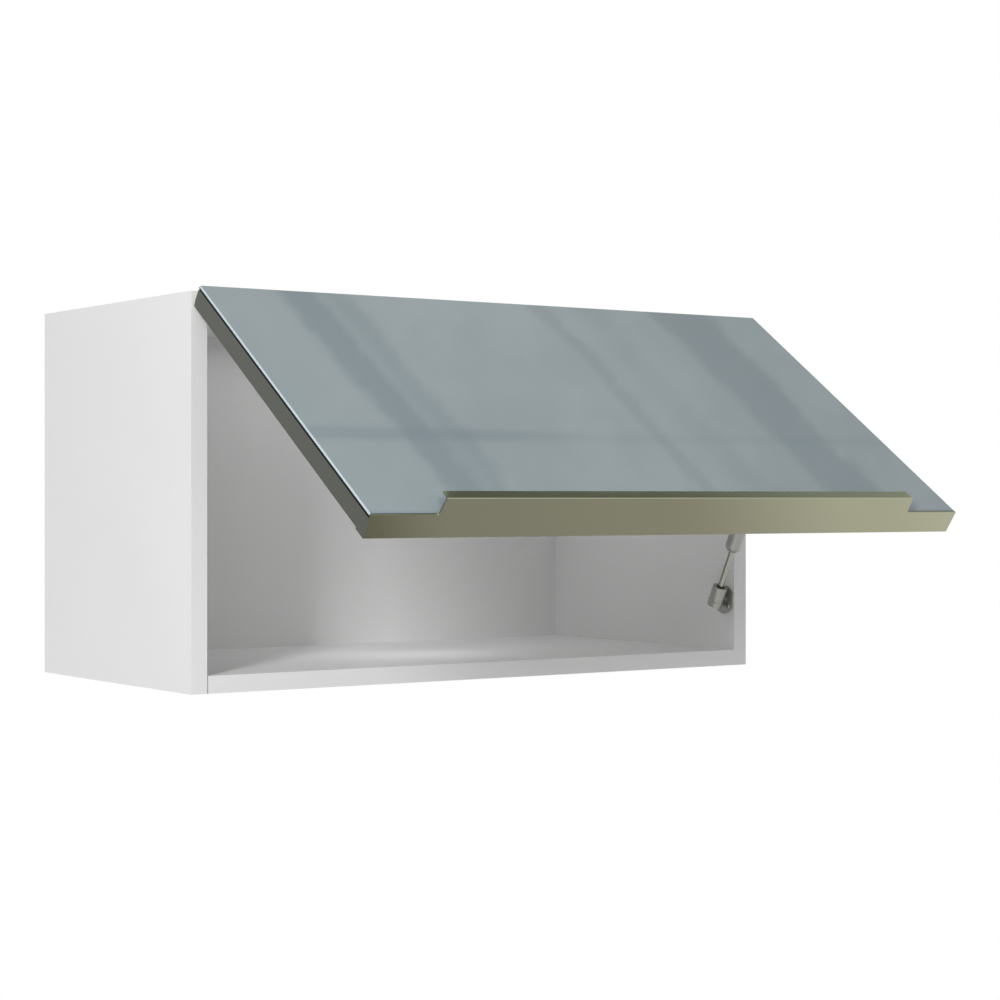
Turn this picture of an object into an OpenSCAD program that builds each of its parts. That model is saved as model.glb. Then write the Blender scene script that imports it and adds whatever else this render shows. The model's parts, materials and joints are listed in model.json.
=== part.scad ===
// Lift up wall cabinet: an open-fronted white box on the wall, and one flap door hinged along its top edge.
// Frame: the origin is the middle of the rear face, X runs to the right, Y runs into the wall, Z is up.
// The door is drawn in its open position, held there by the gas strut at the right.

/* [Carcass] */
// Width over the two side panels
carcass_w = 650; // [450:1:900]
// Height of the side panels
carcass_h = 360; // [320:1:480]
// Depth from the front edges to the wall
carcass_d = 320; // [260:1:400]
// Thickness of the carcass boards
board_t = 16; // [15:0.5:19]
// Thickness of the edging on the front edges
band_t = 0.8; // [0.4:0.1:2]
// Thickness of the rear board
back_t = 3; // [2.5:0.5:5]
// Width of the rebate that takes the rear board
rebate_w = 8; // [5:0.5:10]

/* [Carcass fittings] */
// Diameter of the wooden dowels
dowel_d = 8; // [6:1:9]
// Length of the wooden dowels
dowel_l = 30; // [24:1:34]
// Depth of each dowel in a side panel
dowel_in_side = 10; // [8:0.5:12]
// Distance of the cam fittings from the front and rear edges
cam_inset = 37; // [30:1:50]
// Distance from a cam fitting to the dowel next to it
system_pitch = 32; // [25:1:40]
// Diameter of the cam housings
cam_d = 15; // [12:1:18]
// Depth of the cam housings
cam_h = 12.5; // [10:0.5:13]
// Distance of a cam from the side panel
cam_reach = 24; // [20:1:34]
// Diameter of the cam bolts
cam_bolt_d = 6; // [5:0.5:7]
// Depth of a cam bolt in a side panel
cam_bolt_in_side = 11; // [9:0.5:12]
// Length of each leg of the wall brackets
bracket_leg = 38; // [30:1:50]
// Height of the wall brackets
bracket_h = 30; // [24:1:40]
// Steel thickness of the wall brackets
bracket_t = 2; // [1.5:0.5:3]
// Rounding at the free ends of the wall brackets
bracket_r = 5; // [3:0.5:8]
// Hole for the wall screw in each bracket and in the rear board
wall_hole_d = 8; // [6:0.5:10]
// Distance of a wall hole from the inside of the side panel
wall_hole_inset = 22; // [16:1:28]

/* [Door] */
// Opening angle at which the strut is fully out
door_open = 55.1; // [40:0.1:62]
// Length of the door from its top edge to its lower face
door_len = 353; // [315:1:470]
// Step of the door in from each outer side face
side_reveal = 1.8; // [1:0.1:4]
// Step of the closed door down from the top of the carcass
top_reveal = 2; // [1.5:0.1:4]
// Gap between the closed door board and the carcass edges
door_gap = 2.5; // [2.4:0.1:3]
// Thickness of the door board
door_board_t = 17; // [15.5:0.5:19]
// Thickness of the metal edging on the door board
trim_t = 1; // [0.5:0.1:2]
// Thickness of the dark bonding layer behind the glass
bond_t = 1; // [0.5:0.1:2]
// Step of the bonding layer in from the glass edge
bond_inset = 1; // [0.5:0.1:3]
// Thickness of the glass front
glass_t = 3; // [3:0.5:6]
// Chamfer on the front edges of the glass
glass_chamfer = 0.6; // [0.3:0.1:1]
// Diameter of the door bumpers
bumper_d = 9; // [7:0.5:12]
// Distance of the bumpers up from the lower face of the door
bumper_up = 26; // [20:1:60]

/* [Pull profile] */
// Wall thickness of the pull profile
profile_t = 1.5; // [1:0.1:2]
// Height of the rear wall of the profile
profile_rear_h = 13.7; // [10:0.1:20]
// Width of the finger lip at the door
lip_w = 519; // [300:1:540]
// Width of the finger lip at its outer edge
lip_outer_w = 515.5; // [290:0.5:535]
// Width of the free edge of the upturned flange
lip_free_w = 513; // [285:0.5:530]
// Reach of the lip in front of the glass
lip_reach = 16.5; // [12:0.5:25]
// Height of the upturned flange over the lower face
flange_h = 10; // [7:0.5:14]
// Rounding where the flange turns up
flange_bend_r = 0.6; // [0.3:0.1:2]
// Rounding of the corners where the lip leaves the door
lip_root_r = 2; // [1:0.5:4]
// Number of screws that hold the profile
profile_screw_count = 5; // [3:1:7]

/* [Hinges] */
// Distance of each hinge in from the outer side face
hinge_inset = 97; // [85:1:160]
// Drop of the hinge pin below the top edge of the door
pin_drop = 6.8; // [6.6:0.1:7]
// Depth of the hinge pin in the door, from its rear face
pin_depth = 10.3; // [10.1:0.1:10.4]
// Diameter of the hinge pins
pin_d = 2.2; // [2:0.1:2.4]
// Diameter of the hinge cups
cup_d = 35; // [35:0.5:36]
// Depth of the hinge cups
cup_depth = 13.3; // [13.2:0.1:13.6]
// Wall thickness of the hinge cups
cup_wall = 1.2; // [1:0.1:1.5]
// Wood left between a cup and the top edge of the door
cup_edge = 3; // [2.6:0.1:3.2]
// Spacing of the two cup screws
cup_screw_pitch = 48; // [46:0.5:52]
// Offset of the cup screws from the cup centre
cup_screw_offset = 6; // [5:0.5:9]
// Thickness of the cup flange on the door
cup_flange_t = 0.8; // [0.6:0.1:1]
// Metal round the pin in the eye of the hinge arm
eye_wall = 1.2; // [1:0.1:1.3]
// Width of the nose of the hinge arm
nose_w = 8; // [6:0.5:9]
// Thickness of the nose of the hinge arm
nose_t = 3; // [2.5:0.1:3.2]
// Drop of the middle of the nose below the hinge pin
nose_drop = 13.5; // [13:0.1:13.8]
// Width of the hinge arm channel
arm_w = 18; // [16:0.5:20]
// Length of the hinge arm channel
arm_l = 62; // [56:1:70]
// Height of the hinge arm channel
arm_h = 11; // [9.5:0.5:13]
// Sheet thickness of the hinge arm
arm_t = 1.5; // [1:0.1:2]
// Setback of the mounting plate screws from the front edge
plate_setback = 37; // [36:1:39]
// Spacing of the mounting plate screws
plate_pitch = 32; // [30:1:36]
// Thickness of the mounting plates
plate_t = 2; // [1.5:0.1:2.5]

/* [Gas strut] */
// Distance of the ball centres from the right side panel
ball_standoff = 11.5; // [11.5:0.1:13]
// Setback of the lower ball from the front edge
strut_setback = 14.6; // [13:0.1:22]
// Height of the lower ball over the underside
strut_up = 69.5; // [60:0.5:76]
// Drop of the upper ball below the top edge of the door
strut_drop = 112; // [106:1:116]
// Distance of the upper ball behind the door board
strut_behind = 22; // [21:0.5:26]
// Diameter of the ball heads
ball_d = 10; // [9:0.5:10]
// Diameter of the end fittings
socket_d = 15.8; // [15:0.1:16]
// End fitting from the ball centre to its open rim
socket_rim = 14; // [13:0.5:16]
// End fitting from the ball centre to its closed end
socket_tail = 8; // [7.5:0.5:10]
// Bore of the open rim round the rod
socket_bore_d = 10; // [9:0.5:11]
// Depth of the bore in the open rim
socket_bore_depth = 7; // [5:0.5:7]
// Diameter of the piston rod
rod_d = 6; // [5:0.5:7]
// Outer diameter of the pressure tube
tube_d = 16.7; // [15.5:0.1:18]
// Wall thickness of the pressure tube
tube_wall = 1.2; // [0.9:0.1:1.5]
// Rounding of the rolled end of the tube
tube_end_r = 6; // [4:0.5:6.5]
// Rod left in view when the door is closed
rod_spare = 1.2; // [1:0.1:3]
// Diameter of the round base plate
base_d = 29.5; // [28:0.5:34]
// Thickness of the round base plate
base_t = 2; // [1.5:0.1:2.5]
// Drop of the base plate centre below the ball
base_drop = 1.5; // [0:0.1:2]
// Pitch circle of the base plate screws
base_pcd = 19; // [18:0.5:21]
// Height of the base plate screws over the plate
base_screw_proud = 0.8; // [0.5:0.1:1]
// Sheet thickness of the door bracket
foot_t = 1.6; // [1.2:0.1:2]
// Rounding at the free end of the door bracket
foot_r = 4; // [2:0.5:6]

/* [Hidden] */
$fn = 64;

// Radial clearance of a running fit
fit = 0.05;
// Clearance of a close fit that stays put
snug = 0.02;
// Gap left where a moving or loose piece meets its seat
seat = 0.3;
// Free room beside a moving piece
slack = 0.5;
// Overrun of every cut past the face it opens
over = 1;

// Carcass faces
half_w = carcass_w / 2;
half_h = carcass_h / 2;
inner_x = half_w - board_t;
inner_z = half_h - board_t;
front_y = -carcass_d;
board_front_y = front_y + band_t;
deck_d = carcass_d - band_t - back_t;
cam_y = [front_y + cam_inset, -back_t - cam_inset];
dowel_y = [cam_y[0] + system_pitch, cam_y[1] - system_pitch];
edge_z = half_h - board_t / 2;

// Carcass fittings
cam_head_d = 1.1 * cam_bolt_d;
cam_head_l = cam_bolt_d / 2;
cam_slot_w = cam_head_d + 2 * seat;
cam_cross_w = cam_d / 8;
cam_cross_l = cam_d / 2;
cam_cross_h = cam_h / 5;
bracket_top_z = inner_z - bracket_t;
bracket_mid_z = bracket_top_z - bracket_h / 2;
wall_hole_x = inner_x - wall_hole_inset;
bracket_screw_y = [for (share = [0.3, 0.75]) -back_t - share * bracket_leg];
back_screw_count = 4;

// Screws, as shank diameter, shank length, head diameter and head height
wood_screw = [4, 13, 8, 2.4];
back_screw = [3, 12, 6, 1.6];
euro_screw = [5, 11, 9, 1.8];
cup_screw = [3.5, 12, 7, 1.6];
profile_screw = [3, 12, 5.6, 1.3];
strut_screw = [3, 12, 5.4, 1.6];
adjust_screw = [4, 5, 6, 1.4];

// Closed door, before it is lifted
door_w = carcass_w - 2 * side_reveal;
door_half = door_w / 2;
door_top_z = half_h - top_reveal;
door_foot_z = door_top_z - door_len;
rear_y = front_y - door_gap;
bond_y = rear_y - door_board_t;
glass_back_y = bond_y - bond_t;
glass_y = glass_back_y - glass_t;
glass_foot_z = door_foot_z + profile_t;
board_foot_z = glass_foot_z;
rear_wall_y = rear_y + profile_t;
pin_y = rear_y - pin_depth;
pin_z = door_top_z - pin_drop;
bumper_t = door_gap - seat;

// Hinge cup and nose
hinge_x = half_w - hinge_inset;
cup_z = door_top_z - cup_edge - cup_d / 2;
nose_eye_d = pin_d + 2 * eye_wall;
slot_w = nose_w + 2 * slack;
slot_floor_y = pin_y - nose_eye_d / 2 - seat;
slot_foot_z = pin_z - nose_drop - nose_t / 2 - 2 * slack;
hinge_pin_l = slot_w + cup_d / 6;
cheek_half = hinge_pin_l / 2 + cup_wall;
arm_front_y = front_y + nose_t;
arm_top_z = inner_z - plate_t - seat;
arm_foot_z = arm_top_z - arm_h;
arm_block_l = 3 * nose_t;
rail_w = arm_w - 2 * arm_t - 2 * seat;
rail_l = arm_l - arm_block_l - 4 * arm_t;
rail_h = arm_h - arm_t - 2 * seat;
plate_y = front_y + plate_setback;
adjust_y = [arm_front_y + arm_block_l + 4 * adjust_screw[0], arm_front_y + arm_l - 3 * adjust_screw[0]];

// Gas strut, worked out from its two balls
ball_x = inner_x - ball_standoff;
ball_y = front_y + strut_setback;
ball_z = -half_h + strut_up;
arm_y0 = rear_y + strut_behind - pin_y;
arm_z0 = door_top_z - strut_drop - pin_z;
top_ball_y = pin_y + arm_y0 * cos(door_open) + arm_z0 * sin(door_open);
top_ball_z = pin_z - arm_y0 * sin(door_open) + arm_z0 * cos(door_open);
strut_l = norm([top_ball_y - ball_y, top_ball_z - ball_z]);
strut_lean = atan2(ball_y - top_ball_y, top_ball_z - ball_z);
closed_dy = pin_y + arm_y0 - ball_y;
closed_dz = pin_z + arm_z0 - ball_z;
strut_closed_l = norm([closed_dy, closed_dz]);
strut_closed_lean = atan2(-closed_dy, closed_dz);
stroke = strut_l - strut_closed_l;
tube_foot = socket_rim + rod_spare + stroke;
tube_top = strut_l - socket_rim;
tube_bore_d = tube_d - 2 * tube_wall;
guide_l = tube_end_r + rod_d / 2;
guide_foot = tube_foot + tube_wall + fit;
piston_foot = guide_foot + guide_l + rod_spare;
piston_l = rod_d;
rod_foot = ball_d / 2 + seat;
stud_d = rod_d;
socket_mouth_d = ball_d + 2 * fit;
clip_wire_d = rod_d / 5;
clip_groove_z = -ball_d / 4;
collar_t = 0.6 * base_t;
collar_d = stud_d + base_t;
stub_l = socket_rim - rod_foot + seat;
foot_w = 2 * base_t + base_d - foot_t;
foot_h = 1.3 * base_d;
ear_x = ball_x + ball_standoff - foot_t - 2 * slack;
ear_w = socket_d;

echo(strut_length = strut_l, closed_length = strut_closed_l, stroke = stroke);
echo(lean = strut_lean, closed_lean = strut_closed_lean);
echo(swing_ratio = (strut_lean - strut_closed_lean) / door_open);
echo(slide_ratio = stroke / (door_open * PI / 180));
echo(pin = [pin_y, pin_z], ball = [ball_x, ball_y, ball_z], top_ball = [top_ball_y, top_ball_z]);

// Cylinders along each axis, starting at the origin and running towards plus
module rod_x(d, l) rotate([0, 90, 0]) cylinder(d = d, h = l);
module rod_y(d, l) rotate([-90, 0, 0]) cylinder(d = d, h = l);

// A box given by its two corners
module box(low, high) translate(low) cube(high - low);

// A flat tongue along plus X with rounded corners at its free end
module tongue(l, w, r) {
    square([l - r, w]);
    translate([l - r, r]) square([r, w - 2 * r]);
    for (y = [r, w - r]) translate([l - r, y]) circle(r = r);
}

// Both sides of the cabinet
module both_sides() {
    children();
    mirror([1, 0, 0]) children();
}

// Both decks, the bottom one and the top one
module both_decks() {
    children();
    mirror([0, 0, 1]) children();
}

// The door lifted from closed to open about its hinge pins
module lifted() {
    translate([0, pin_y, pin_z]) rotate([-door_open, 0, 0]) translate([0, -pin_y, -pin_z]) children();
}

// The strut's own line: Z runs from the lower ball to the upper one
module on_strut() {
    translate([ball_x, ball_y, ball_z]) rotate([strut_lean, 0, 0]) children();
}

// A screw whose head top is at the origin and whose shank runs towards minus Z
cross_shares = [0.14, 0.62, 0.7];
rim_shares = [0.3, 0.74];
module screw(size) {
    cross_w = cross_shares[0] * size[2];
    cross_l = cross_shares[1] * size[2];
    cross_h = cross_shares[2] * size[3];
    difference() {
        union() {
            translate([0, 0, -size[3]]) cylinder(d = size[2], h = size[3] - rim_shares[0] * size[3]);
            translate([0, 0, -rim_shares[0] * size[3]])
                cylinder(d1 = size[2], d2 = rim_shares[1] * size[2], h = rim_shares[0] * size[3]);
            translate([0, 0, -size[3] - size[1]]) cylinder(d = size[0], h = size[1] + size[3] / 2);
        }
        for (turn = [0, 90]) {
            rotate([0, 0, turn]) translate([-cross_l / 2, -cross_w / 2, -cross_h])
                cube([cross_l, cross_w, cross_h + over]);
        }
    }
}

// The hole for the shank of a screw, with its mouth at the origin
module pilot(size) {
    translate([0, 0, -size[1] - seat]) cylinder(d = size[0] + 2 * snug, h = size[1] + seat + over);
}

// The countersunk seat for the whole head of a screw that lies flush with the origin's plane
module head_seat(size) {
    translate([0, 0, -size[3] - snug]) cylinder(d = size[2] + 2 * fit, h = size[3] + snug + over);
}

// Turns that point a screw's head along an axis
module head_to_minus_x() rotate([0, -90, 0]) children();
module head_to_plus_y() rotate([-90, 0, 0]) children();
module head_to_minus_z() rotate([180, 0, 0]) children();

// Places of the joints at one end of the bottom deck, on the right
module at_dowels() {
    for (y = dowel_y) translate([inner_x, y, -edge_z]) children();
}
module at_cams() {
    for (y = cam_y) translate([inner_x, y, -edge_z]) children();
}

// Side panels
module side_board() {
    difference() {
        box([inner_x, board_front_y, -half_h], [half_w, 0, half_h]);
        box([inner_x - over, -back_t, -half_h - over], [inner_x + rebate_w, over, half_h + over]);
        both_decks() {
            at_dowels() translate([-over, 0, 0]) rod_x(dowel_d + 2 * fit, dowel_in_side + seat + over);
            at_cams() translate([-over, 0, 0]) rod_x(cam_bolt_d + 2 * fit, cam_bolt_in_side + seat + over);
        }
        at_wall_bracket_screws() head_to_minus_x() pilot(wood_screw);
    }
}
module left_side_panel() color("gainsboro") mirror([1, 0, 0]) side_board();
module right_side_panel() color("gainsboro") difference() {
    side_board();
    at_base_screws() head_to_minus_x() pilot(strut_screw);
}

// Top and bottom decks, each drawn as the bottom one
module deck() {
    difference() {
        box([-inner_x, board_front_y, -half_h], [inner_x, -back_t, -inner_z]);
        both_sides() {
            at_dowels() translate([-dowel_l + dowel_in_side - seat, 0, 0])
                rod_x(dowel_d + 2 * fit, dowel_l);
            at_cams() {
                translate([-cam_reach, 0, 0]) rod_x(cam_slot_w, cam_reach + over);
                translate([-cam_reach, 0, -board_t / 2 - over]) cylinder(d = cam_d + 2 * fit, h = cam_h + seat + over);
            }
        }
        for (x = back_screw_x) translate([x, -back_t, -edge_z]) head_to_plus_y() pilot(back_screw);
    }
}
module bottom_panel() color("gainsboro") deck();
module top_panel() color("gainsboro") difference() {
    mirror([0, 0, 1]) deck();
    at_plate_screws() translate([0, 0, inner_z]) head_to_minus_z() pilot(euro_screw);
}

// Thin rear board in the rebates of the side panels
back_half_w = inner_x + rebate_w - seat;
back_screw_x = [for (i = [0 : back_screw_count - 1]) inner_x * (2 * i + 1 - back_screw_count) / back_screw_count];
module at_back_screws() {
    both_decks() for (x = back_screw_x) translate([x, 0, -edge_z]) children();
}
module back_panel() color("whitesmoke") difference() {
    box([-back_half_w, -back_t, -half_h], [back_half_w, 0, half_h]);
    both_sides() translate([wall_hole_x, -back_t - over, bracket_mid_z]) rod_y(wall_hole_d, back_t + 2 * over);
    at_back_screws() head_to_plus_y() {
        head_seat(back_screw);
        pilot(back_screw);
    }
}
module back_panel_screws() color("silver") at_back_screws() head_to_plus_y() screw(back_screw);

// Edging on the four front edges
module front_edge_bands() color("gainsboro") {
    both_sides() box([inner_x, front_y, -half_h], [half_w, board_front_y, half_h]);
    both_decks() box([snug - inner_x, front_y, -half_h], [inner_x - snug, board_front_y, -inner_z]);
}

// Dowels and cam fittings between the side panels and the decks
module wooden_dowels() color("burlywood") both_sides() both_decks() at_dowels()
    translate([dowel_in_side - dowel_l, 0, 0]) rod_x(dowel_d, dowel_l);
module cam_housings() color("silver") both_sides() both_decks() at_cams()
    translate([-cam_reach, 0, -board_t / 2]) difference() {
        cylinder(d = cam_d, h = cam_h);
        translate([-cam_head_l, -cam_slot_w / 2, board_t / 2 - cam_slot_w / 2])
            cube([cam_d, cam_slot_w, cam_h]);
        for (turn = [45, 135]) {
            rotate([0, 0, turn]) translate([-cam_cross_l / 2, -cam_cross_w / 2, -over])
                cube([cam_cross_l, cam_cross_w, cam_cross_h + over]);
        }
    }
module cam_bolts() color("silver") both_sides() both_decks() at_cams() {
    translate([-cam_head_l, 0, 0]) rod_x(cam_bolt_d, cam_head_l + cam_bolt_in_side);
    translate([-cam_reach, 0, 0]) rod_x(cam_bolt_d - 2 * seat, cam_reach);
    translate([-cam_reach, 0, 0]) rod_x(cam_head_d, cam_head_l);
}

// Steel angle brackets in the two upper rear corners
module at_wall_bracket_screws() {
    for (y = bracket_screw_y) translate([inner_x, y, bracket_mid_z]) children();
}
module wall_brackets() color("silver") both_sides() difference() {
    union() {
        translate([inner_x - bracket_t, -back_t, bracket_top_z]) rotate([-90, 0, -90])
            linear_extrude(bracket_t) tongue(bracket_leg, bracket_h, bracket_r);
        translate([inner_x, -back_t - bracket_t, bracket_top_z]) rotate([-90, 0, 0]) mirror([1, 0, 0])
            linear_extrude(bracket_t) tongue(bracket_leg, bracket_h, bracket_r);
    }
    translate([wall_hole_x, -back_t - bracket_t - over, bracket_mid_z]) rod_y(wall_hole_d, bracket_t + 2 * over);
    at_wall_bracket_screws() translate([-bracket_t - over, 0, 0])
        rod_x(wood_screw[0] + 2 * fit, bracket_t + 2 * over);
}
module wall_bracket_screws() color("silver") both_sides() at_wall_bracket_screws()
    translate([-bracket_t - wood_screw[3], 0, 0]) head_to_minus_x() screw(wood_screw);

// Mounting plates under the top deck, one for each hinge
module at_hinges() {
    for (side = [-1, 1]) translate([side * hinge_x, 0, 0]) children();
}
module at_plate_screws() {
    at_hinges() for (side = [-1, 1]) translate([side * plate_pitch / 2, plate_y, 0]) children();
}
module hinge_mounting_plates() color("silver") at_hinges() difference() {
    union() {
        for (side = [-1, 1]) {
            translate([side * plate_pitch / 2, plate_y, inner_z - plate_t])
                cylinder(d = euro_screw[2] + 2 * euro_screw[3], h = plate_t);
        }
        box([-plate_pitch / 2, plate_y - euro_screw[2] / 2 - euro_screw[3], inner_z - plate_t],
            [plate_pitch / 2, plate_y + euro_screw[2] / 2 + euro_screw[3], inner_z]);
        box([-rail_w / 2, arm_front_y + arm_block_l + 2 * arm_t, inner_z - plate_t],
            [rail_w / 2, arm_front_y + arm_block_l + 2 * arm_t + rail_l, inner_z]);
        box([-rail_w / 2, arm_front_y + arm_block_l + 2 * arm_t, inner_z - plate_t - rail_h],
            [rail_w / 2, arm_front_y + arm_block_l + 2 * arm_t + rail_l, inner_z - plate_t]);
    }
    for (side = [-1, 1]) translate([side * plate_pitch / 2, plate_y, inner_z - plate_t]) head_to_minus_z() {
        head_seat(euro_screw);
        pilot(euro_screw);
    }
    for (y = adjust_y) translate([0, y, inner_z - plate_t - rail_h]) head_to_minus_z() pilot(adjust_screw);
}
module mounting_plate_screws() color("silver") at_plate_screws()
    translate([0, 0, inner_z - plate_t]) head_to_minus_z() screw(euro_screw);

// Hinge arms: a pressed channel with a curled nose that ends in an eye round the pin
module nose_outline() {
    bend_r = nose_t + nose_t / 3;
    back = pin_y - arm_front_y - arm_block_l / 2;
    difference() {
        union() {
            circle(d = nose_eye_d);
            translate([-nose_t / 2, -nose_drop + bend_r - nose_t / 2]) square([nose_t, nose_drop - bend_r + nose_t / 2]);
            translate([nose_t / 2 - bend_r, -nose_drop + bend_r - nose_t / 2]) intersection() {
                difference() {
                    circle(r = bend_r);
                    circle(r = bend_r - nose_t);
                }
                translate([0, -bend_r]) square([bend_r, bend_r]);
            }
            translate([back, -nose_drop - nose_t / 2]) square([-back + nose_t / 2 - bend_r, nose_t]);
        }
        circle(d = pin_d + 2 * fit);
    }
}
module hinge_arms() color("silver") at_hinges() difference() {
    union() {
        difference() {
            box([-arm_w / 2, arm_front_y, arm_foot_z], [arm_w / 2, arm_front_y + arm_l, arm_top_z]);
            box([-arm_w / 2 + arm_t, arm_front_y + arm_block_l, arm_foot_z + arm_t],
                [arm_w / 2 - arm_t, arm_front_y + arm_l + over, arm_top_z + over]);
        }
        translate([-nose_w / 2, pin_y, pin_z]) rotate([90, 0, 90]) linear_extrude(nose_w) mirror([1, 0, 0])
            nose_outline();
    }
    for (y = adjust_y) translate([0, y, arm_foot_z - over])
        cylinder(d = adjust_screw[0] + 2 * snug, h = arm_t + 2 * over);
}
module hinge_adjusting_screws() color("silver") at_hinges() for (y = adjust_y)
    translate([0, y, arm_foot_z - adjust_screw[3]]) head_to_minus_z() screw(adjust_screw);

// Hinge cups in the door: thin pots, each with two cheeks that hold the pin and a slot for the arm's nose
module at_cup_screws() {
    at_hinges() for (side = [-1, 1])
        translate([side * cup_screw_pitch / 2, rear_y, cup_z - cup_screw_offset]) children();
}
module cup_slot() {
    box([-slot_w / 2, slot_floor_y, slot_foot_z], [slot_w / 2, rear_y + cup_flange_t + over, door_top_z]);
}
module hinge_cups() color("silver") lifted() at_hinges() difference() {
    union() {
        translate([0, rear_y - cup_depth, cup_z]) rod_y(cup_d - 2 * fit, cup_depth + cup_flange_t);
        for (side = [-1, 1]) translate([side * cup_screw_pitch / 2, rear_y, cup_z - cup_screw_offset])
            rod_y(cup_screw[2] + 2 * arm_t, cup_flange_t);
        box([-cup_screw_pitch / 2, rear_y, cup_z - cup_screw_offset - cup_screw[2] / 2 - arm_t],
            [cup_screw_pitch / 2, rear_y + cup_flange_t, cup_z - cup_screw_offset + cup_screw[2] / 2 + arm_t]);
    }
    difference() {
        translate([0, rear_y - cup_depth + cup_wall, cup_z])
            rod_y(cup_d - 2 * fit - 2 * cup_wall, cup_depth + cup_flange_t + over);
        box([-cheek_half, rear_y - cup_depth, slot_foot_z], [cheek_half, rear_y + cup_flange_t, door_top_z]);
    }
    cup_slot();
    translate([-hinge_pin_l / 2, pin_y, pin_z]) rod_x(pin_d + 2 * snug, hinge_pin_l);
    for (side = [-1, 1])
        translate([side * cup_screw_pitch / 2, rear_y - over, cup_z - cup_screw_offset])
            rod_y(cup_screw[0] + 2 * fit, cup_flange_t + 2 * over);
}
module hinge_cup_screws() color("silver") lifted() at_cup_screws()
    translate([0, cup_flange_t + cup_screw[3], 0]) head_to_plus_y() screw(cup_screw);
module hinge_pins() color("silver") lifted() at_hinges()
    translate([-hinge_pin_l / 2, pin_y, pin_z]) rod_x(pin_d, hinge_pin_l);

// Door board with its cup bores and pilot holes
profile_screw_x = [for (i = [0 : profile_screw_count - 1])
    (door_half - 2 * bumper_up) * (2 * i / (profile_screw_count - 1) - 1)];
profile_screw_z = door_foot_z + profile_t + (profile_rear_h - profile_t) / 2;
module at_profile_screws() {
    for (x = profile_screw_x) translate([x, rear_wall_y, profile_screw_z]) children();
}
module at_foot_screws() {
    for (up = [-1, 1]) translate([foot_x, rear_y, foot_z + up * foot_h / 3]) children();
}
foot_x = ear_x - foot_w / 2;
foot_z = door_top_z - strut_drop;
module door_board() color("dimgray") lifted() difference() {
    box([-door_half + trim_t, bond_y, board_foot_z], [door_half - trim_t, rear_y, door_top_z - trim_t]);
    at_hinges() translate([0, rear_y - cup_depth - snug, cup_z]) rod_y(cup_d, cup_depth + over);
    at_cup_screws() head_to_plus_y() pilot(cup_screw);
    at_profile_screws() translate([0, -profile_t, 0]) head_to_plus_y() pilot(profile_screw);
    at_foot_screws() head_to_plus_y() pilot(strut_screw);
}
module door_edge_trims() color("rosybrown") lifted() {
    both_sides() box([door_half - trim_t, bond_y, board_foot_z], [door_half, rear_y, door_top_z]);
    box([-door_half + trim_t + snug, bond_y, door_top_z - trim_t],
        [door_half - trim_t - snug, rear_y, door_top_z]);
}

// Dark bonding layer and the glass that covers the whole front
module bonding_layer() color("black") lifted()
    box([-door_half + bond_inset, glass_back_y, glass_foot_z + bond_inset],
        [door_half - bond_inset, bond_y, door_top_z - bond_inset]);
module glass_front() color("lightsteelblue") lifted() intersection() {
    translate([0, 0, glass_foot_z]) linear_extrude(door_top_z - glass_foot_z) polygon([
        [-door_half, glass_back_y], [door_half, glass_back_y], [door_half, glass_y + glass_chamfer],
        [door_half - glass_chamfer, glass_y], [glass_chamfer - door_half, glass_y],
        [-door_half, glass_y + glass_chamfer]
    ]);
    translate([-door_half, 0, 0]) rotate([90, 0, 90]) linear_extrude(door_w) polygon([
        [glass_back_y, glass_foot_z], [glass_back_y, door_top_z], [glass_y + glass_chamfer, door_top_z],
        [glass_y, door_top_z - glass_chamfer], [glass_y, glass_foot_z + glass_chamfer],
        [glass_y + glass_chamfer, glass_foot_z]
    ]);
}

// Pull profile: a rear wall, a floor under the door and an upturned finger lip in front of the glass
lip_y = glass_y - lip_reach;
root_half_w = lip_w / 2 + lip_root_r;
module lip_outline() {
    polygon([
        [-lip_w / 2, glass_y + profile_t], [lip_w / 2, glass_y + profile_t],
        [lip_w / 2, glass_y], [lip_outer_w / 2, lip_y], [-lip_outer_w / 2, lip_y], [-lip_w / 2, glass_y]
    ]);
    for (side = [0, 1]) mirror([side, 0]) difference() {
        translate([lip_outer_w / 2, glass_y - lip_root_r])
            square([root_half_w - lip_outer_w / 2, lip_root_r + profile_t]);
        translate([root_half_w, glass_y - lip_root_r]) circle(r = lip_root_r);
    }
}
module flange_outline() {
    polygon([
        [-lip_outer_w / 2, door_foot_z], [lip_outer_w / 2, door_foot_z],
        [lip_free_w / 2, door_foot_z + flange_h], [-lip_free_w / 2, door_foot_z + flange_h]
    ]);
}
module lip_section() {
    difference() {
        union() {
            translate([lip_y + flange_bend_r, door_foot_z]) square([lip_reach + profile_t - flange_bend_r, profile_t]);
            translate([lip_y, door_foot_z + flange_bend_r]) square([profile_t, flange_h - flange_bend_r]);
            translate([lip_y + flange_bend_r, door_foot_z + flange_bend_r]) circle(r = flange_bend_r);
            translate([lip_y + flange_bend_r, door_foot_z]) square([flange_bend_r, flange_bend_r + profile_t]);
        }
        translate([lip_y + profile_t, door_foot_z + profile_t]) square([lip_reach + profile_t, flange_h]);
    }
}
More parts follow.
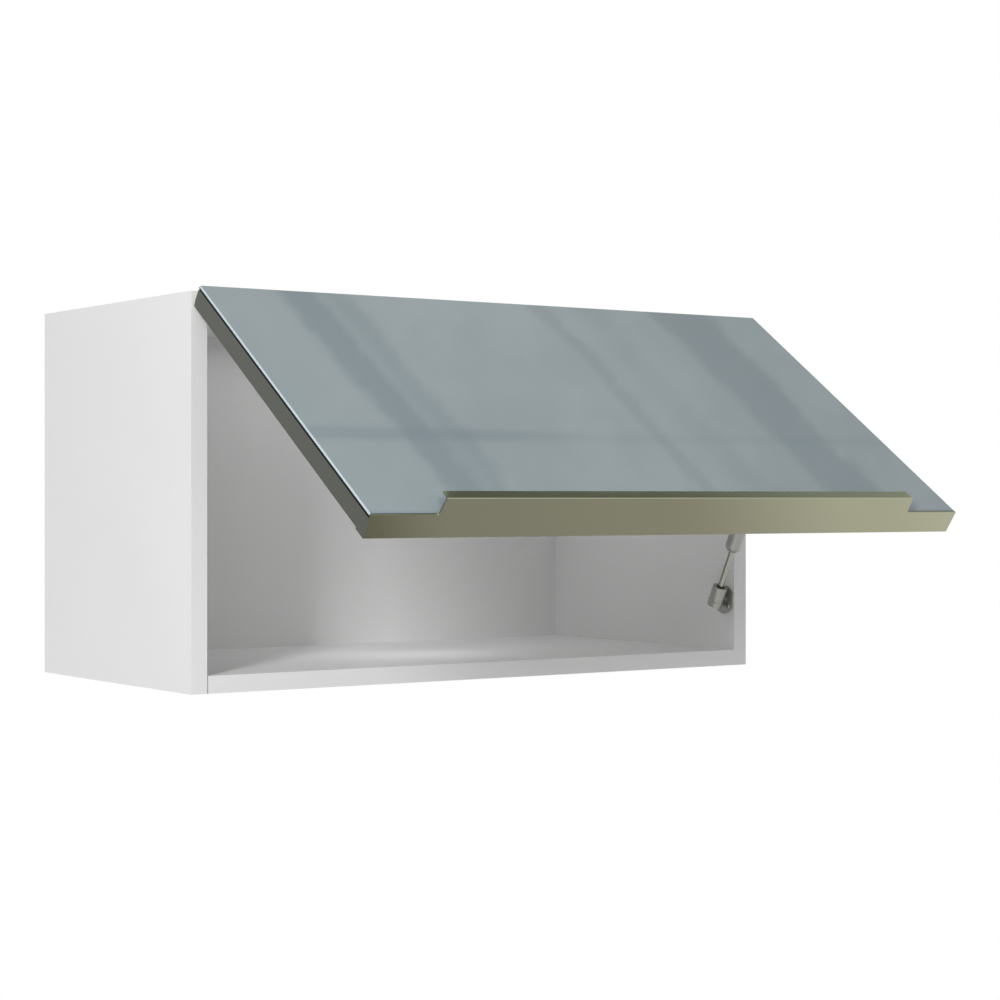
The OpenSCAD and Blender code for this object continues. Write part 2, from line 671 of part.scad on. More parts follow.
module pull_profile() color("darkkhaki") lifted() difference() {
    union() {
        box([-door_half, rear_y, door_foot_z], [door_half, rear_wall_y, door_foot_z + profile_rear_h]);
        box([-door_half, glass_y, door_foot_z], [door_half, rear_wall_y, glass_foot_z]);
        intersection() {
            translate([-root_half_w, 0, 0]) rotate([90, 0, 90]) linear_extrude(2 * root_half_w) lip_section();
            translate([0, 0, door_foot_z - over]) linear_extrude(flange_h + 2 * over) lip_outline();
            translate([0, glass_y + profile_t + over, 0]) rotate([90, 0, 0]) linear_extrude(lip_reach + profile_t + 2 * over)
                union() {
                    flange_outline();
                    translate([-root_half_w, door_foot_z]) square([2 * root_half_w, profile_t]);
                }
        }
    }
    at_profile_screws() head_to_plus_y() {
        head_seat(profile_screw);
        pilot(profile_screw);
    }
}
module pull_profile_screws() color("darkkhaki") lifted() at_profile_screws()
    head_to_plus_y() screw(profile_screw);

// Soft domed bumpers at the lower corners of the door
module door_bumpers() color("whitesmoke") lifted() both_sides()
    translate([inner_x + board_t / 2, rear_y, door_foot_z + bumper_up]) rotate([-90, 0, 0])
        rotate_extrude() {
            square([bumper_d / 2 - bumper_t / 2, bumper_t]);
            square([bumper_d / 2, bumper_t / 2]);
            translate([bumper_d / 2 - bumper_t / 2, bumper_t / 2]) intersection() {
                circle(d = bumper_t);
                square(bumper_t);
            }
        }

// Strut base: a round plate on the right side panel, its screws and its ball
base_turns = [for (i = [0 : 2]) 225 + i * 120];
module at_base_screws() {
    translate([inner_x, ball_y, ball_z - base_drop]) for (turn = base_turns)
        rotate([turn, 0, 0]) translate([0, base_pcd / 2, 0]) children();
}
module strut_base_plate() color("gray") difference() {
    translate([inner_x - base_t, ball_y, ball_z - base_drop]) rod_x(base_d, base_t);
    translate([inner_x - base_t - over, ball_y, ball_z]) rod_x(stud_d + 2 * snug, base_t + 2 * over);
    at_base_screws() translate([-base_t - base_screw_proud, 0, 0]) head_to_minus_x() {
        head_seat(strut_screw);
        pilot(strut_screw);
    }
}
module strut_base_screws() color("silver") at_base_screws()
    translate([-base_t - base_screw_proud, 0, 0]) head_to_minus_x() screw(strut_screw);

// A ball on its stud, turned in one piece: the ball is at the origin and the stud runs towards plus X
module ball_stud(reach, shoulder) {
    rotate([0, 90, 0]) rotate_extrude() {
        intersection() {
            circle(d = ball_d);
            translate([0, -ball_d]) square([ball_d, 2 * ball_d]);
        }
        square([stud_d / 2, reach]);
        translate([0, shoulder]) square([collar_d / 2, collar_t]);
    }
}
module lower_ball_stud() color("silver") translate([ball_x, ball_y, ball_z])
    ball_stud(ball_standoff, ball_standoff - base_t - collar_t);

// An end fitting: an open rim round the rod above, and a side mouth for the ball
module socket() {
    difference() {
        translate([0, 0, -socket_tail]) cylinder(d = socket_d, h = socket_tail + socket_rim);
        translate([0, 0, socket_rim - socket_bore_depth]) cylinder(d = socket_bore_d, h = socket_bore_depth + over);
        cylinder(d = rod_d + 2 * snug, h = socket_rim);
        sphere(d = socket_mouth_d);
        rod_x(socket_mouth_d, socket_d);
        translate([0, 0, clip_groove_z - clip_wire_d / 2 - fit]) difference() {
            cylinder(d = socket_d + over, h = clip_wire_d + 2 * fit);
            translate([0, 0, -over]) cylinder(d = socket_d - clip_wire_d, h = clip_wire_d + 2 * over);
        }
    }
}
module socket_clip() {
    translate([0, 0, clip_groove_z]) rotate([0, 0, clip_open / 2]) rotate_extrude(angle = 360 - clip_open)
        translate([socket_d / 2, 0]) circle(d = clip_wire_d);
}
clip_open = 100;
module lower_socket() color("silver") on_strut() socket();
module lower_socket_clip() color("gray") on_strut() socket_clip();

// Piston rod and its piston, fixed to the lower fitting
module piston_rod() color("silver") on_strut()
    translate([0, 0, rod_foot]) cylinder(d = rod_d, h = piston_foot + piston_l - rod_foot);
module piston() color("dimgray") on_strut() translate([0, 0, piston_foot]) difference() {
    cylinder(d = tube_bore_d - 2 * fit, h = piston_l);
    translate([0, 0, -over]) cylinder(d = rod_d + 2 * snug, h = piston_l + 2 * over);
}

// Pressure tube with a rolled lower end, and the guide that seals it round the rod
module tube_half(d, foot, top, round_r) {
    translate([0, foot + round_r]) square([d / 2, top - foot - round_r]);
    translate([0, foot]) square([d / 2 - round_r, round_r]);
    translate([d / 2 - round_r, foot + round_r]) intersection() {
        circle(r = round_r);
        translate([0, -round_r]) square([round_r, round_r]);
    }
}
module pressure_tube() color("silver") on_strut() difference() {
    union() {
        rotate_extrude() tube_half(tube_d, tube_foot, tube_top - seat, tube_end_r);
        translate([0, 0, tube_top - seat - snug]) cylinder(d = rod_d, h = stub_l + snug);
    }
    rotate_extrude()
        tube_half(tube_bore_d, tube_foot + tube_wall, tube_top - seat - 2 * tube_wall, tube_end_r - tube_wall);
    translate([0, 0, tube_foot - over]) cylinder(d = rod_d + 2 * seat, h = tube_wall + 2 * over);
}
module rod_guide() color("dimgray") on_strut() difference() {
    rotate_extrude()
        tube_half(tube_bore_d - 2 * fit, guide_foot, guide_foot + guide_l, tube_end_r - tube_wall + fit);
    translate([0, 0, guide_foot - over]) cylinder(d = rod_d + 2 * fit, h = guide_l + 2 * over);
}

// Upper fitting, the lower one turned end for end, with the ball it holds
module on_strut_top() {
    on_strut() translate([0, 0, strut_l]) rotate([180, 0, 0]) children();
}
module upper_socket() color("silver") on_strut_top() socket();
module upper_socket_clip() color("gray") on_strut_top() socket_clip();
stud_reach = ear_x - seat - ball_x;
module upper_ball_stud() color("silver") on_strut_top() ball_stud(stud_reach, stud_reach - collar_t);

// Sheet bracket on the rear of the door: a foot with two screws and an ear beside the upper ball
module strut_door_bracket() color("silver") lifted() difference() {
    union() {
        translate([ear_x + foot_t, rear_y, foot_z + foot_h / 2]) rotate([-90, 0, 0]) mirror([1, 0, 0])
            linear_extrude(foot_t) tongue(foot_t + foot_w, foot_h, foot_r);
        box([ear_x, rear_y, foot_z - ear_w / 2], [ear_x + foot_t, rear_y + strut_behind, foot_z + ear_w / 2]);
        translate([ear_x, rear_y + strut_behind, foot_z]) rod_x(ear_w, foot_t);
    }
    at_foot_screws() translate([0, foot_t, 0]) head_to_plus_y() pilot(strut_screw);
}
module door_bracket_screws() color("silver") lifted() at_foot_screws()
    translate([0, foot_t + strut_screw[3], 0]) head_to_plus_y() screw(strut_screw);

left_side_panel();
right_side_panel();
top_panel();
bottom_panel();
back_panel();
front_edge_bands();
wooden_dowels();
cam_housings();
cam_bolts();
wall_brackets();
wall_bracket_screws();
back_panel_screws();
hinge_mounting_plates();
mounting_plate_screws();
hinge_arms();
hinge_adjusting_screws();
hinge_cups();
hinge_cup_screws();
hinge_pins();
door_board();
door_edge_trims();
bonding_layer();
glass_front();
pull_profile();
pull_profile_screws();
door_bumpers();
strut_base_plate();
strut_base_screws();
lower_ball_stud();
lower_socket();
lower_socket_clip();
piston_rod();
piston();
pressure_tube();
rod_guide();
upper_socket();
upper_socket_clip();
upper_ball_stud();
strut_door_bracket();
door_bracket_screws();
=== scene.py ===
"""Lift up wall cabinet: the finish of every piece, the light and the camera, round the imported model."""
import json
import math
import bpy
from mathutils import Euler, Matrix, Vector


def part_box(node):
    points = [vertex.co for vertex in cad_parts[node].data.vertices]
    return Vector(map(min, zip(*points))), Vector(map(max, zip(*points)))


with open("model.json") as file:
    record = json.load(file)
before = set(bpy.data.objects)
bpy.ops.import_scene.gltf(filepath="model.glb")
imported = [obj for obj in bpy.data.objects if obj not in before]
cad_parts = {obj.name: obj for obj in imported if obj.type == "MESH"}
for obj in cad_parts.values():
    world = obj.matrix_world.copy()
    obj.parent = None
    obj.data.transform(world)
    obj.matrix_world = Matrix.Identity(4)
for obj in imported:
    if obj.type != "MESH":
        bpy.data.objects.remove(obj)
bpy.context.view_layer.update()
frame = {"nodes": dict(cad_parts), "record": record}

MM = 0.001
NODES = frame["nodes"]

# The photograph's camera, fitted to the cabinet's corners
CAMERA_PLACE = (-1.26319, -2.15117, -0.00352)
CAMERA_TURN = math.radians(-34.81)
FOCAL_PX = 2290.07
FRAME_PX = 1000
HORIZON_PX = 496.65
SENSOR_MM = 36.0
CLIP_END = 100

# The door's own directions at rest, from its hinge axis and opening angle
JOINTS = {joint["name"]: joint for joint in frame["record"]["behaviour"]["joints"]}
DOOR_OPEN = math.radians(-JOINTS["door_lift"]["range_deg"][0])
DOOR_OUT = Vector((0, -math.cos(DOOR_OPEN), math.sin(DOOR_OPEN)))
DOOR_DOWN = Vector((0, -math.sin(DOOR_OPEN), -math.cos(DOOR_OPEN)))

# The axes by number, and the same scale along all three
RIGHT, INWARD, UP = 0, 1, 2
EVEN = (1, 1, 1)
# The middle of a noise's range, over which its effect is spread
MIDDLE = (0.3, 0.7)
# Detail of the slow noises, and detail and roughness of the fine ones
SMOOTH, CLOUDY, FINE = (2.0,), (3.0,), (3.0, 0.6)

# Boards: waves of noise per metre, darkest and lightest tone, roughness and bump
BOARD_CLOUDS, BOARD_GRAIN = 3.0, 900.0
BOARD_TONES = (0.975, 1.015)
BOARD_ROUGH = (0.42, 0.56)
BOARD_BUMP = 0.12
FILM_IOR = 1.46
# The shadow line where the decks' edging meets the left side's: its width and its soft edge
SEAM_SHADOW_WIDTH, SEAM_SHADOW_SOFT = 0.9 * MM, 0.2 * MM

# Metals: waves per metre along and across the brushing, in the clouds and in the cast grain
BRUSHED_ALONG, BRUSHED_ACROSS, BRUSHED_CLOUDS = 12.0, 1400.0, 14.0
BRUSHED_FINE_SHARE = 0.6
BRUSHED_BUMP = 0.10
CAST_CLOUDS, CAST_GRAIN = 90.0, 2200.0
CAST_TONES = (0.92, 1.06)
CAST_BUMP = 0.15
METAL_DEPTH = 0.03 * MM

# Plastic, rubber and wood
MOULDED_CLOUDS, MOULDED_GRAIN = 60.0, 1500.0
MOULDED_TONES = (0.9, 1.1)
MOULDED_BUMP = 0.2
SKIN_DEPTH = 0.05 * MM
WOOD_ALONG, WOOD_ACROSS = 20, 500
WOOD_DETAIL = (6.0, 0.6, 0.4)
WOOD_ROUGH = (0.55, 0.75)
WOOD_BUMP = 0.3
WOOD_DEPTH = 0.1 * MM

# Glass: its clouds and its polish
GLASS_STRETCH, GLASS_TURN = (1.0, 1.2, 1.2), (0.0, 0.0, 0.5)
GLASS_CLOUDS, GLASS_GRAIN = 2.6, 40.0
GLASS_DETAIL = (2.0, 0.4, 0.3)
GLASS_MIDDLE = (0.35, 0.65)
GLASS_TONES = (0.985, 1.015)
GLASS_ROUGH = (0.015, 0.03)
GLASS_IOR = 1.52
# Cosines of a glass face's turn from the front: below the first it is an edge, above the second the front
EDGE_TURN = (0.55, 0.95)
# Depths in the glass edge, and heights above its foot, between which the dark line fades in
PAINT_LINE = (1.5 * MM, 1.9 * MM)
FOOT_LINE = (1.1 * MM, 0.8 * MM)


def srgb(code):
    """Linear colour of a hexadecimal screen colour."""
    parts = [int(code[start:start + 2], 16) / 255 for start in (0, 2, 4)]
    linear = [part / 12.92 if part <= 0.04045 else ((part + 0.055) / 1.055) ** 2.4 for part in parts]
    return (*linear, 1.0)


class Shader:
    """A small helper that adds nodes to one material and links them."""

    def __init__(self, name):
        self.material = bpy.data.materials.new(name)
        self.material.use_nodes = True
        self.tree = self.material.node_tree
        self.tree.nodes.clear()
        self.output = self.add("ShaderNodeOutputMaterial")
        self.surface = self.add("ShaderNodeBsdfPrincipled")
        self.link(self.surface.outputs["BSDF"], self.output.inputs["Surface"])
        self.place = self.add("ShaderNodeTexCoord")

    def add(self, kind, **values):
        node = self.tree.nodes.new(kind)
        for key, value in values.items():
            setattr(node, key, value)
        return node

    def link(self, out, into):
        self.tree.links.new(out, into)

    def fixed(self, **values):
        """Sets sockets of the surface shader; underscores stand for spaces."""
        for key, value in values.items():
            self.surface.inputs[key.replace("_", " ")].default_value = value

    def stretched(self, scale, turn=(0, 0, 0)):
        """Object coordinates, turned and then scaled."""
        mapping = self.add("ShaderNodeMapping")
        mapping.inputs["Scale"].default_value = scale
        mapping.inputs["Rotation"].default_value = turn
        self.link(self.place.outputs["Object"], mapping.inputs["Vector"])
        return mapping.outputs["Vector"]

    def noise(self, vector, scale, detail=4.0, roughness=0.5, distortion=0.0):
        node = self.add("ShaderNodeTexNoise")
        for key, value in (("Scale", scale), ("Detail", detail), ("Roughness", roughness),
                           ("Distortion", distortion)):
            node.inputs[key].default_value = value
        self.link(vector, node.inputs["Vector"])
        return node.outputs["Fac"]

    def ramp(self, value, stops):
        """Maps a value through (position, colour) stops."""
        node = self.add("ShaderNodeValToRGB")
        node.color_ramp.interpolation = "EASE"
        while len(node.color_ramp.elements) < len(stops):
            node.color_ramp.elements.new(0.5)
        for element, (position, colour) in zip(node.color_ramp.elements, stops):
            element.position = position
            element.color = colour
        self.link(value, node.inputs["Fac"])
        return node.outputs["Color"]

    def spread(self, value, low, high, start=0.0, end=1.0, ease="SMOOTHSTEP"):
        """Maps start..end to low..high."""
        node = self.add("ShaderNodeMapRange", clamp=True, interpolation_type=ease)
        for key, number in (("From Min", start), ("From Max", end), ("To Min", low), ("To Max", high)):
            node.inputs[key].default_value = number
        self.link(value, node.inputs["Value"])
        return node.outputs["Result"]

    def maths(self, kind, first, second):
        node = self.add("ShaderNodeMath", operation=kind, use_clamp=False)
        for socket, value in zip(node.inputs, (first, second)):
            if isinstance(value, (int, float)):
                socket.default_value = value
            else:
                self.link(value, socket)
        return node.outputs["Value"]

    def along(self, direction, normal=False):
        """How far a point lies, or its face looks, along a direction of the object."""
        node = self.add("ShaderNodeVectorMath", operation="DOT_PRODUCT")
        self.link(self.place.outputs["Normal" if normal else "Object"], node.inputs[0])
        node.inputs[1].default_value = direction
        return node.outputs["Value"]

    def mix(self, factor, first, second):
        node = self.add("ShaderNodeMix", data_type="RGBA")
        colours = [socket for socket in node.inputs if socket.type == "RGBA"]
        for socket, value in zip(colours, (first, second)):
            if isinstance(value, tuple):
                socket.default_value = value
            else:
                self.link(value, socket)
        self.link(factor, node.inputs["Factor"])
        return next(socket for socket in node.outputs if socket.type == "RGBA")

    def bump(self, height, strength, distance):
        node = self.add("ShaderNodeBump")
        node.inputs["Strength"].default_value = strength
        node.inputs["Distance"].default_value = distance
        self.link(height, node.inputs["Height"])
        self.link(node.outputs["Normal"], self.surface.inputs["Normal"])

    def colour(self, value):
        self.link(value, self.surface.inputs["Base Color"])

    def rough(self, value):
        self.link(value, self.surface.inputs["Roughness"])

    def band(self, value, centre, half, soft):
        """1 inside a soft-edged band of a value, 0 outside it."""
        off = self.maths("ABSOLUTE", self.maths("SUBTRACT", value, centre), 0.0)
        return self.spread(off, 1.0, 0.0, max(half - soft / 2, 0.0), half + soft / 2)

    def dimmed(self, level, mask, depth):
        """A level made darker by depth where a mask is 1."""
        return self.maths("MULTIPLY", level, self.spread(mask, 1.0, 1.0 - depth))

    def glow(self, level, colour=(1, 1, 1, 1)):
        """Makes the material a plain light of the given level."""
        light = self.add("ShaderNodeEmission")
        for key, value in (("Strength", level), ("Color", colour)):
            if isinstance(value, (float, tuple)):
                light.inputs[key].default_value = value
            else:
                self.link(value, light.inputs[key])
        self.link(light.outputs["Emission"], self.output.inputs["Surface"])
        return self.material


def grey(level):
    """A grey of a given linear level."""
    return (level, level, level, 1.0)


def tinted(code, factor):
    """A screen colour made lighter or darker by a factor."""
    red, green, blue, alpha = srgb(code)
    return (red * factor, green * factor, blue * factor, alpha)


def white_board(name, code, grain=1.0, seam_shadow=None):
    """Melamine faced board: pearl in the film, slow unevenness in the white, and a painted shadow line at
    the seam if one is named.
    """
    look = Shader(name)
    slow = look.noise(look.stretched(EVEN), BOARD_CLOUDS, *SMOOTH)
    white = look.ramp(slow, [(at, tinted(code, tone)) for at, tone in zip(MIDDLE, BOARD_TONES)])
    if seam_shadow:
        # Painted shade: a grey line just inside the left side's inner face, where the decks' edging meets
        # the left side's.
        inward = look.maths("SUBTRACT", look.along((1, 0, 0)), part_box("left_side_panel")[1][0])
        white = look.mix(look.band(inward, SEAM_SHADOW_WIDTH / 2, SEAM_SHADOW_WIDTH / 2, SEAM_SHADOW_SOFT), white, srgb(seam_shadow))
    look.colour(white)
    pearl = look.noise(look.stretched(EVEN), BOARD_GRAIN, *FINE)
    look.rough(look.spread(pearl, *BOARD_ROUGH, *MIDDLE))
    look.bump(pearl, BOARD_BUMP * grain, SKIN_DEPTH)
    look.fixed(IOR=FILM_IOR)
    return look.material


def brushed_metal(name, code, along, rough=(0.28, 0.42), lines=1.0, spread=0.06, metal=1.0):
    """Satin metal: fine lines along one direction, with slow patches in its polish."""
    look = Shader(name)
    squash = tuple(BRUSHED_ALONG if axis == along else BRUSHED_ACROSS for axis in range(3))
    fine = look.noise(look.stretched(squash), 1.0, *FINE)
    slow = look.noise(look.stretched(EVEN), BRUSHED_CLOUDS, *CLOUDY)
    look.colour(look.mix(fine, tinted(code, 1 - spread), tinted(code, 1 + spread)))
    lined = look.maths("MULTIPLY", fine, BRUSHED_FINE_SHARE)
    both = look.maths("ADD", lined, look.maths("MULTIPLY", slow, 1 - BRUSHED_FINE_SHARE))
    look.rough(look.spread(both, *rough, *MIDDLE))
    look.bump(fine, BRUSHED_BUMP * lines, METAL_DEPTH)
    look.fixed(Metallic=metal)
    return look.material


def cast_metal(name, code, rough=(0.32, 0.5)):
    """Plated or cast metal: a fine grain with slow clouds in its polish."""
    look = Shader(name)
    fine = look.noise(look.stretched(EVEN), CAST_GRAIN, *FINE)
    slow = look.noise(look.stretched(EVEN), CAST_CLOUDS, *CLOUDY)
    look.colour(look.mix(slow, *(tinted(code, tone) for tone in CAST_TONES)))
    look.rough(look.spread(slow, *rough, *MIDDLE))
    look.bump(fine, CAST_BUMP, METAL_DEPTH)
    look.fixed(Metallic=1.0)
    return look.material


def plain_plastic(name, code, rough=(0.4, 0.55), gloss=0.5):
    """Moulded plastic or rubber with a fine sparkle in its skin."""
    look = Shader(name)
    fine = look.noise(look.stretched(EVEN), MOULDED_GRAIN, *FINE)
    slow = look.noise(look.stretched(EVEN), MOULDED_CLOUDS, *SMOOTH)
    look.colour(look.mix(slow, *(tinted(code, tone) for tone in MOULDED_TONES)))
    look.rough(look.spread(fine, *rough, *MIDDLE))
    look.bump(fine, MOULDED_BUMP, SKIN_DEPTH)
    look.fixed(Specular_IOR_Level=gloss)
    return look.material


def wood(name, light, dark):
    """Turned beech: streaks along the dowel and short dark flecks."""
    look = Shader(name)
    streaks = look.noise(look.stretched((WOOD_ALONG, WOOD_ACROSS, WOOD_ACROSS)), 1.0, *WOOD_DETAIL)
    look.colour(look.mix(streaks, srgb(light), srgb(dark)))
    look.rough(look.spread(streaks, *WOOD_ROUGH))
    look.bump(streaks, WOOD_BUMP, WOOD_DEPTH)
    return look.material


def reach(piece, direction):
    """How far a piece's mesh goes along a direction."""
    return max(vertex.co.dot(direction) for vertex in piece.data.vertices)


def painted_glass(name, code, edge, seal):
    """Glass painted on its rear: clouded blue grey front, bright edges, a dark line at paint and foot."""
    look = Shader(name)
    glass = NODES["glass_front"]
    clouds = look.noise(look.stretched(GLASS_STRETCH, GLASS_TURN), GLASS_CLOUDS, *GLASS_DETAIL)
    body = look.ramp(clouds, [(at, tinted(code, tone)) for at, tone in zip(GLASS_MIDDLE, GLASS_TONES)])
    depth = look.maths("SUBTRACT", reach(glass, DOOR_OUT), look.along(DOOR_OUT))
    rim = look.mix(look.spread(depth, 0.0, 1.0, *PAINT_LINE), srgb(edge), srgb(seal))
    facing = look.spread(look.along(DOOR_OUT, normal=True), 1.0, 0.0, *EDGE_TURN)
    foot = reach(glass, DOOR_DOWN)
    low = look.spread(look.along(DOOR_DOWN), 0.0, 1.0, foot - FOOT_LINE[0], foot - FOOT_LINE[1])
    look.colour(look.mix(low, look.mix(facing, body, rim), srgb(seal)))
    fine = look.noise(look.stretched(EVEN), GLASS_GRAIN, *SMOOTH)
    look.rough(look.spread(fine, *GLASS_ROUGH))
    look.fixed(IOR=GLASS_IOR)
    return look.material


MATERIALS = {
    "white_board": white_board("white_board", "EDEDED"),
    "white_back": white_board("white_back", "EAEAEA", grain=0.6),
    # The grey line on this edging at the left joints is painted shade.
    "white_band": white_board("white_band", "ECECEC", grain=0.5, seam_shadow="929292"),
    "dowel_wood": wood("dowel_wood", "CDAA7A", "A9824F"),
    "zinc": cast_metal("zinc", "A9A9A6"),
    "steel": cast_metal("steel", "B4B4B0", rough=(0.25, 0.4)),
    "nickel": brushed_metal("nickel", "A9A9A5", INWARD),
    "strut_metal": brushed_metal("strut_metal", "A7A7A2", UP, rough=(0.3, 0.38), metal=0.6),
    "rod_steel": brushed_metal("rod_steel", "9A9A92", UP, rough=(0.15, 0.25), lines=0.4),
    "dark_seal": plain_plastic("dark_seal", "2A2A2A"),
    "door_core": white_board("door_core", "5B5A52", grain=1.5),
    "champagne": brushed_metal("champagne", "ACAB92", RIGHT, rough=(0.03, 0.05), lines=0.3, spread=0.03),
    "bond": plain_plastic("bond", "0B0B0B", rough=(0.85, 0.95), gloss=0.1),
    "blue_glass": painted_glass("blue_glass", "87949A", edge="D2E0E4", seal="2A302C"),
    "clear_bumper": plain_plastic("clear_bumper", "D8D8D4", rough=(0.2, 0.35)),
}
SLOT_OF = {part["node"]: part["material_slot"] for part in frame["record"]["subparts"]}


def dress(piece, slot):
    piece.data.materials.clear()
    piece.data.materials.append(MATERIALS[slot])


for name, node in NODES.items():
    dress(node, SLOT_OF[name])


def add_light(name, place, aim, size, power):
    """A soft lamp of a given width and height that looks at a point."""
    data = bpy.data.lights.new(name, "AREA")
    data.shape = "RECTANGLE"
    data.size, data.size_y = size
    data.energy = power
    lamp = bpy.data.objects.new(name, data)
    lamp.location = place
    lamp.rotation_euler = (Vector(aim) - Vector(place)).to_track_quat("-Z", "Y").to_euler()
    lamp.visible_camera = False
    bpy.context.scene.collection.objects.link(lamp)


def seen_white(tree, plain_out, target):
    """Shows plain white to camera, glossy and transmission rays, and the given shader to the rest."""
    path = tree.nodes.new("ShaderNodeLightPath")
    seen = path.outputs["Is Camera Ray"]
    for ray in ("Is Glossy Ray", "Is Transmission Ray"):
        either = tree.nodes.new("ShaderNodeMath")
        either.operation = "MAXIMUM"
        tree.links.new(seen, either.inputs[0])
        tree.links.new(path.outputs[ray], either.inputs[1])
        seen = either.outputs["Value"]
    in_world = target.node.type == "OUTPUT_WORLD"
    white = tree.nodes.new("ShaderNodeBackground" if in_world else "ShaderNodeEmission")
    white.inputs["Color"].default_value = grey(1.0)
    white.inputs["Strength"].default_value = 1.0
    choice = tree.nodes.new("ShaderNodeMixShader")
    tree.links.new(seen, choice.inputs["Fac"])
    tree.links.new(plain_out, choice.inputs[1])
    tree.links.new(white.outputs[0], choice.inputs[2])
    tree.links.new(choice.outputs["Shader"], target)


def build_world(strength):
    world = bpy.data.worlds.new("studio")
    world.use_nodes = True
    tree = world.node_tree
    tree.nodes.clear()
    output = tree.nodes.new("ShaderNodeOutputWorld")
    light = tree.nodes.new("ShaderNodeBackground")
    light.inputs["Color"].default_value = grey(1.0)
    light.inputs["Strength"].default_value = strength
    seen_white(tree, light.outputs["Background"], output.inputs["Surface"])
    bpy.context.scene.world = world


def build_floor(height, half):
    mesh = bpy.data.meshes.new("floor")
    corners = [(-half, -half, height), (half, -half, height), (half, half, height), (-half, half, height)]
    mesh.from_pydata(corners, [], [(0, 1, 2, 3)])
    floor = bpy.data.objects.new("floor", mesh)
    bpy.context.scene.collection.objects.link(floor)
    material = bpy.data.materials.new("floor")
    material.use_nodes = True
    tree = material.node_tree
    tree.nodes.clear()
    output = tree.nodes.new("ShaderNodeOutputMaterial")
    pale = tree.nodes.new("ShaderNodeBsdfDiffuse")
    pale.inputs["Color"].default_value = grey(FLOOR_TONE)
    seen_white(tree, pale.outputs["BSDF"], output.inputs["Surface"])
    mesh.materials.append(material)


def add_card(name, corners, material):
    """A studio card that shows in reflections only."""
    mesh = bpy.data.meshes.new(name)
    mesh.from_pydata(corners, [], [(0, 1, 2, 3)])
    mesh.materials.append(material)
    card = bpy.data.objects.new(name, mesh)
    bpy.context.scene.collection.objects.link(card)
    card.visible_camera = card.visible_diffuse = card.visible_shadow = card.visible_transmission = False


def window_light():
    """Daylight through a window: slanting bars and one rail across, darker towards the room."""
    look = Shader("window_light")
    aside, deep = look.along((1, 0, 0)), look.along((0, 1, 0))
    haze = look.noise(look.stretched(EVEN), HAZE_WAVES, *FINE)
    slant = look.along((*WINDOW_DIM_WAY, 0))
    dim = look.spread(slant, 1.0, WINDOW_DIM_LEVEL, WINDOW_DIM_FROM, WINDOW_DIM_TO)
    level = look.maths("MULTIPLY", dim, look.spread(haze, *HAZE_LEVELS, *MIDDLE))
    ragged = look.spread(haze, -BAR_RAGGED, BAR_RAGGED, *MIDDLE)
    for direction, offset, half, soft, depth in WINDOW_BARS:
        across = look.maths("ADD", look.along((direction[0], direction[1], 0)), ragged)
        level = look.dimmed(level, look.band(across, offset, half, soft), depth)
    rail = look.maths("MULTIPLY", look.band(deep, *RAIL_BAND), look.spread(aside, 1.0, RAIL_END, *RAIL_FADE))
    level = look.dimmed(level, rail, RAIL_DARK)
    room = look.maths("MULTIPLY", look.band(aside, *ROOM_ASIDE), look.band(deep, *ROOM_DEEP))
    sill = look.maths("MULTIPLY", look.band(aside, *SILL_ASIDE), look.band(deep, *SILL_DEEP))
    room = look.maths("MAXIMUM", room, sill)
    inside = look.maths("MULTIPLY", room, look.spread(aside, *ROOM_LEVELS))
    level = look.maths("ADD", look.dimmed(level, room, 1.0), inside)
    return look.glow(level, look.mix(room, WINDOW_TINT, ROOM_TINT))


def ground_light():
    """The floor that the metal sees: dim at the left, bright at the right."""
    look = Shader("ground_light")
    aside = look.spread(look.along((1, 0, 0)), 0.0, 1.0, *GROUND_REACH, "LINEAR")
    return look.glow(1.0, look.ramp(aside, GROUND_STOPS))


def side_light():
    """The dim room to the left."""
    look = Shader("side_light")
    return look.glow(look.spread(look.along((0, 0, 1)), *SIDE_LEVELS, *SIDE_REACH), SIDE_TINT)


# The window card: each bar is its normal in plan, its distance from the origin, half its width, its
# soft edge and how dark it is
WINDOW_Z = 2.2
WINDOW_TINT = (0.985, 1.0, 0.93, 1.0)
WINDOW_DIM_WAY = (0.752, 0.660)
WINDOW_DIM_LEVEL, WINDOW_DIM_FROM, WINDOW_DIM_TO = 0.78, 1.5, 2.0
WINDOW_BARS = [
    ((0.798, 0.603), 1.230, 0.036, 0.05, 0.62),
    ((0.802, 0.598), 1.302, 0.024, 0.05, 0.38),
    ((0.756, 0.654), 1.677, 0.014, 0.04, 0.26),
    ((0.752, 0.660), 1.775, 0.035, 0.07, 0.12),
    ((0.737, 0.676), 1.950, 0.060, 0.06, 0.44),
]
# How uneven the daylight is, and how far that moves the bars' edges
HAZE_WAVES = 7.0
HAZE_LEVELS = (0.86, 1.04)
BAR_RAGGED = 0.012
# The rail across: its place, half its width and its soft edge; where it starts and ends to fade, how much of
# it is left there, and how dark it is
RAIL_BAND = (0.345, 0.012, 0.03)
RAIL_FADE, RAIL_END, RAIL_DARK = (1.35, 1.75), 0.35, 0.5
# The dim room under the window, and the longer sill below it, each as middle, half size and soft edge along
# both axes; then the levels from left to right, and the tint
ROOM_ASIDE, ROOM_DEEP = (1.946, 0.654, 0.02), (-0.8, 1.008, 0.01)
SILL_ASIDE, SILL_DEEP = (1.95, 0.95, 0.02), (-0.8, 0.976, 0.004)
ROOM_LEVELS = (0.19, 0.42, 1.75, 2.55)
ROOM_TINT = (0.95, 1.07, 1.0, 1.0)

# The ground card: where its tones start and end from left to right, and the tones
GROUND_REACH = (0.3, 1.7)
GROUND_STOPS = [(0.06, (0.24, 0.235, 0.205, 1)), (0.21, grey(0.47)), (0.48, grey(0.52)),
                (0.80, grey(0.86)), (1.0, grey(1.0))]
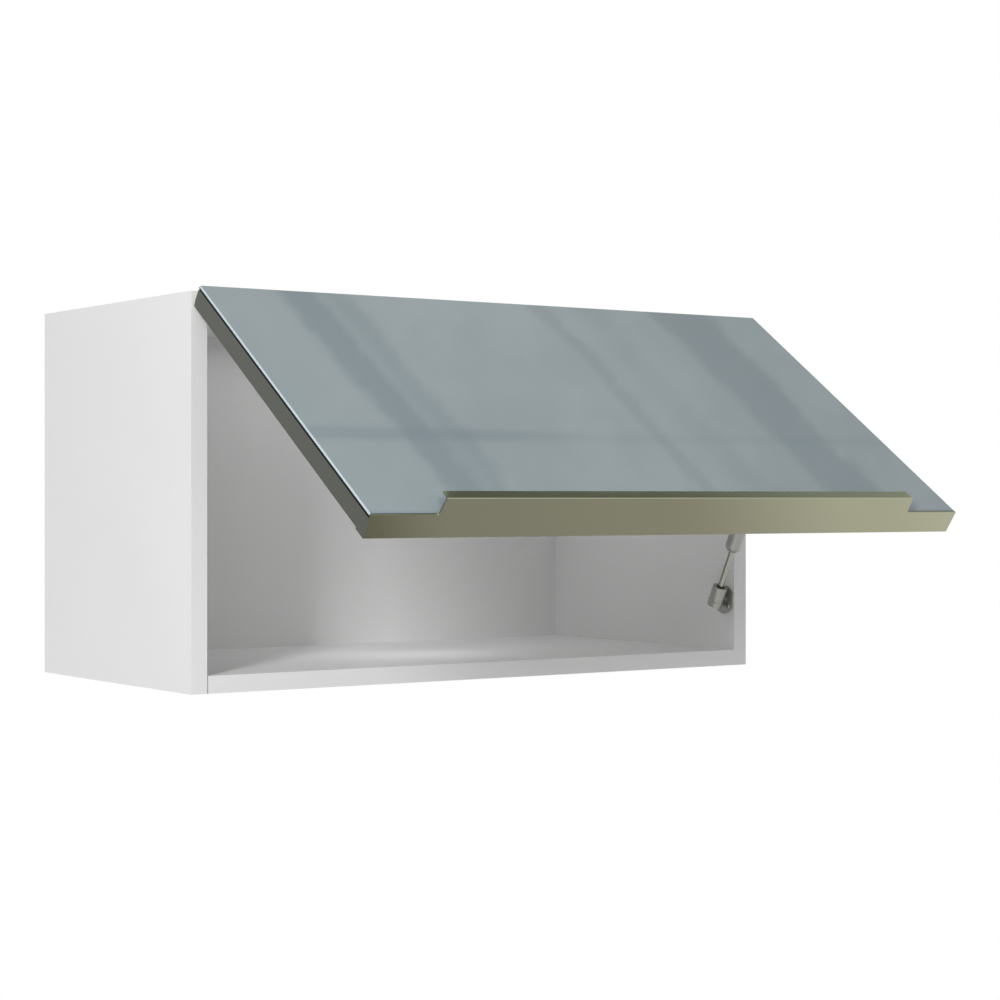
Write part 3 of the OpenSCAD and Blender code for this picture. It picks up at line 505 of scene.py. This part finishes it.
# The side card: its levels at the foot and the top, those heights, and its tint
SIDE_LEVELS, SIDE_REACH = (0.30, 0.39), (-1.0, 1.0)
SIDE_TINT = (0.78, 0.82, 1.0, 1.0)

# The corners of the three cards, the surroundings' level, and the floor's height, half size and tone
WINDOW_CORNERS = [(-2, -2, WINDOW_Z), (-2, 3, WINDOW_Z), (5, 3, WINDOW_Z), (5, -2, WINDOW_Z)]
GROUND_CORNERS = [(0.2, -1.18, -1.2), (4, -1.18, -1.2), (4, 0.5, -1.2), (0.2, 0.5, -1.2)]
SIDE_CORNERS = [(-2.2, -0.4, -2), (-2.2, 6, -2), (-2.2, 6, 3), (-2.2, -0.4, 3)]
WORLD_LEVEL = 0.54
FLOOR_HEIGHT, FLOOR_HALF, FLOOR_TONE = -1.45, 30.0, 0.8
# Each lamp's place, the point it looks at, its width and height, and its power in watts
LAMPS = {
    "key": ((-2.37, -2.29, 1.19), (-0.1, -0.25, -0.1), (0.45, 1.5), 60),
    "shelf_glow": ((0.005, -0.195, -0.085), (0.005, -0.195, -0.16), (0.14, 0.06), 0.023),
    "inside_glow": ((0.06, -0.16, 0.155), (0.06, -0.16, -0.16), (0.46, 0.24), 0.21),
}

build_world(WORLD_LEVEL)
build_floor(FLOOR_HEIGHT, FLOOR_HALF)
add_card("window_card", WINDOW_CORNERS, window_light())
add_card("ground_card", GROUND_CORNERS, ground_light())
add_card("side_card", SIDE_CORNERS, side_light())
for lamp_name, lamp_values in LAMPS.items():
    add_light(lamp_name, *lamp_values)


def build_camera():
    data = bpy.data.cameras.new("camera")
    data.sensor_width = SENSOR_MM
    data.sensor_fit = "HORIZONTAL"
    data.lens = FOCAL_PX / FRAME_PX * SENSOR_MM
    data.shift_y = (HORIZON_PX - FRAME_PX / 2) / FRAME_PX
    data.clip_end = CLIP_END
    camera = bpy.data.objects.new("camera", data)
    camera.location = CAMERA_PLACE
    camera.rotation_euler = Euler((math.pi / 2, 0, CAMERA_TURN))
    bpy.context.scene.collection.objects.link(camera)
    bpy.context.scene.camera = camera


build_camera()
bpy.context.scene.view_settings.view_transform = "Standard"
